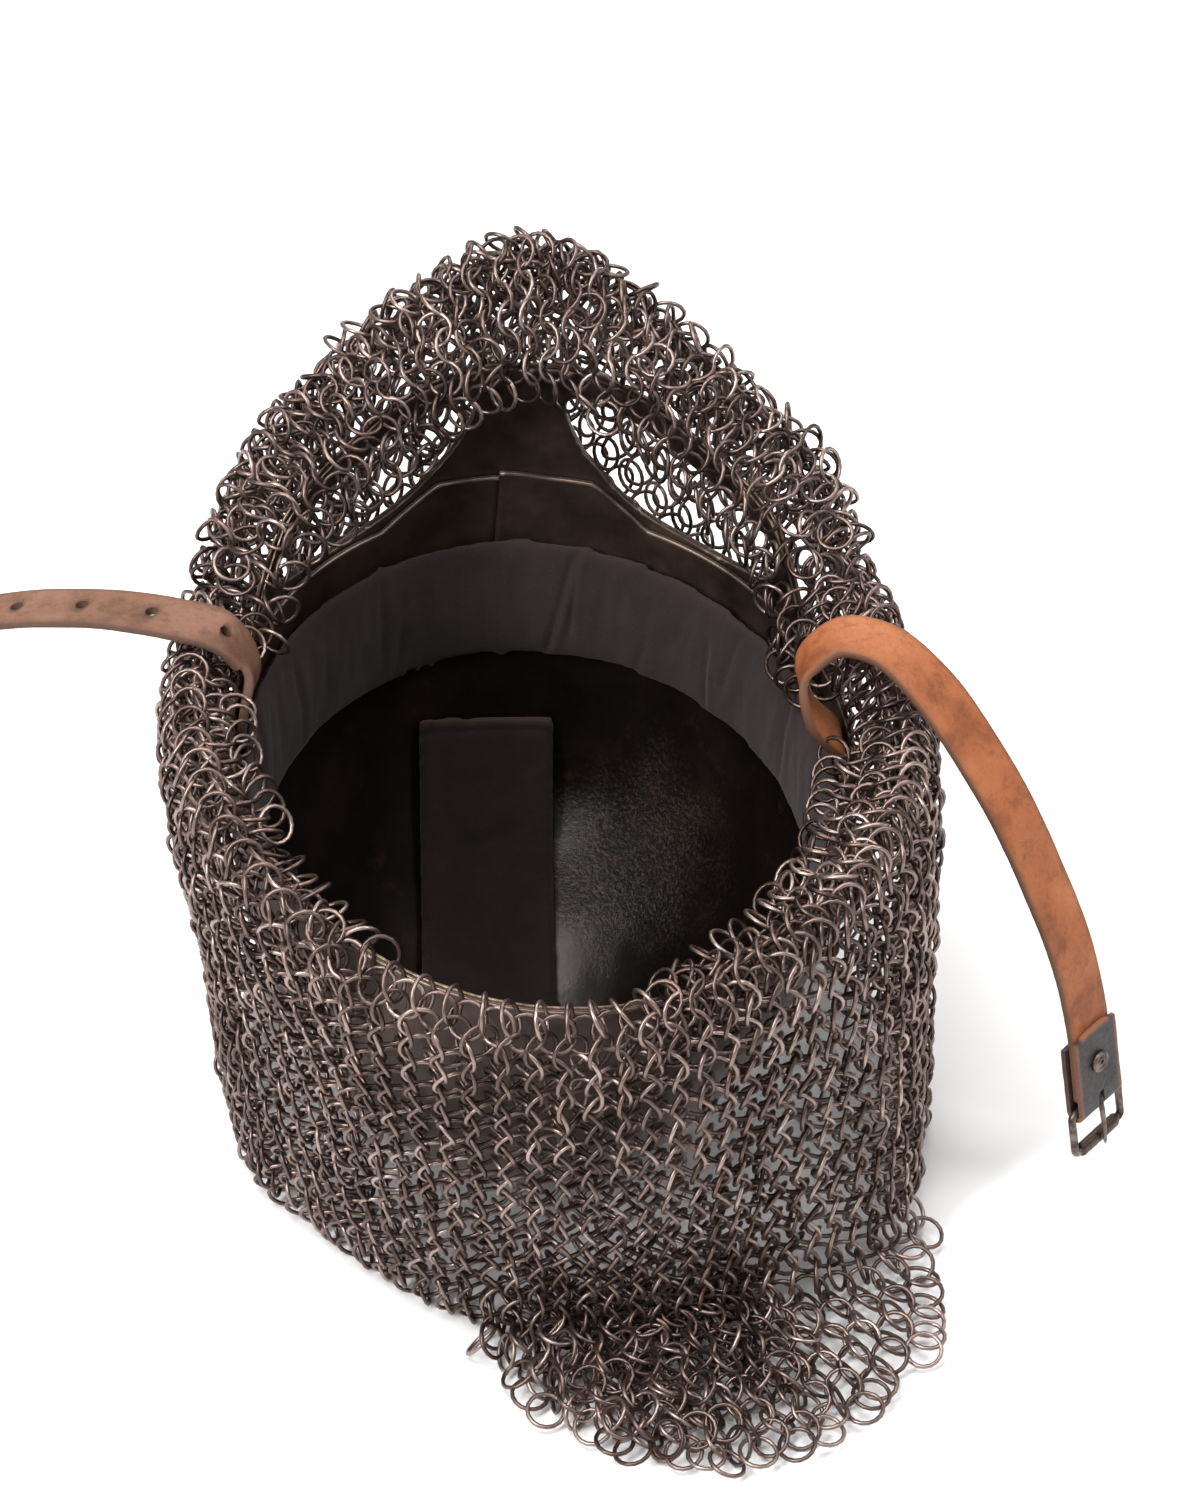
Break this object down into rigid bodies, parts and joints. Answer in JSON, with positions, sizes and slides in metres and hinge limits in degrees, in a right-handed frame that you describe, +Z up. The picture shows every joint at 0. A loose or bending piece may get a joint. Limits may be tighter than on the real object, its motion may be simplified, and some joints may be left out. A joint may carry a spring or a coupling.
{
  "type": "viking helmet with mail curtain",
  "caption": "Steel spectacle-visor helmet with a mail curtain turned out round it, padded inside, with a buckled leather chin strap, laid upside down on its crown.",
  "frame": {"origin": "on the table, under the middle of the whole part's box, mail and straps included", "axes": "+Z up, +Y towards the visor side, +X to the right strap with the buckle"},
  "size_m": [0.4555, 0.33, 0.2831],
  "materials": {
    "black_steel": "blackened steel plate, pitted and oiled, glossy inside",
    "brown_steel": "dark brown steel with rust specks and bright worn edges",
    "mail_steel": "dark oiled steel rings with light highlights and a little rust",
    "hanging_wire": "thin brown brass wire",
    "charcoal_cotton": "matt charcoal cotton, gathered over stuffing",
    "black_cotton": "matt black cotton with a stitched edge",
    "tan_leather": "waxed tan leather with darker smudges and edges",
    "pale_leather": "dull pale leather with punched holes",
    "dark_leather": "dark grey-brown leather",
    "buckle_steel": "dull steel wire, slightly rusted"
  },
  "bodies": {
    "root": {"dome_shell": "black_steel", "brow_band": "brown_steel", "visor": "brown_steel", "headband_pad": "charcoal_cotton", "crown_pad": "black_cotton", "rim_wire": "hanging_wire", "mail_front": "mail_steel", "mail_right": "mail_steel", "mail_back": "mail_steel", "mail_left": "mail_steel", "mail_fan": "mail_steel", "strap_right": "tan_leather", "strap_left": "pale_leather", "strap_tab": "dark_leather", "tab_rivet": "buckle_steel", "buckle_frame": "buckle_steel", "buckle_prong": "buckle_steel"}
  },
  "joints": []
}
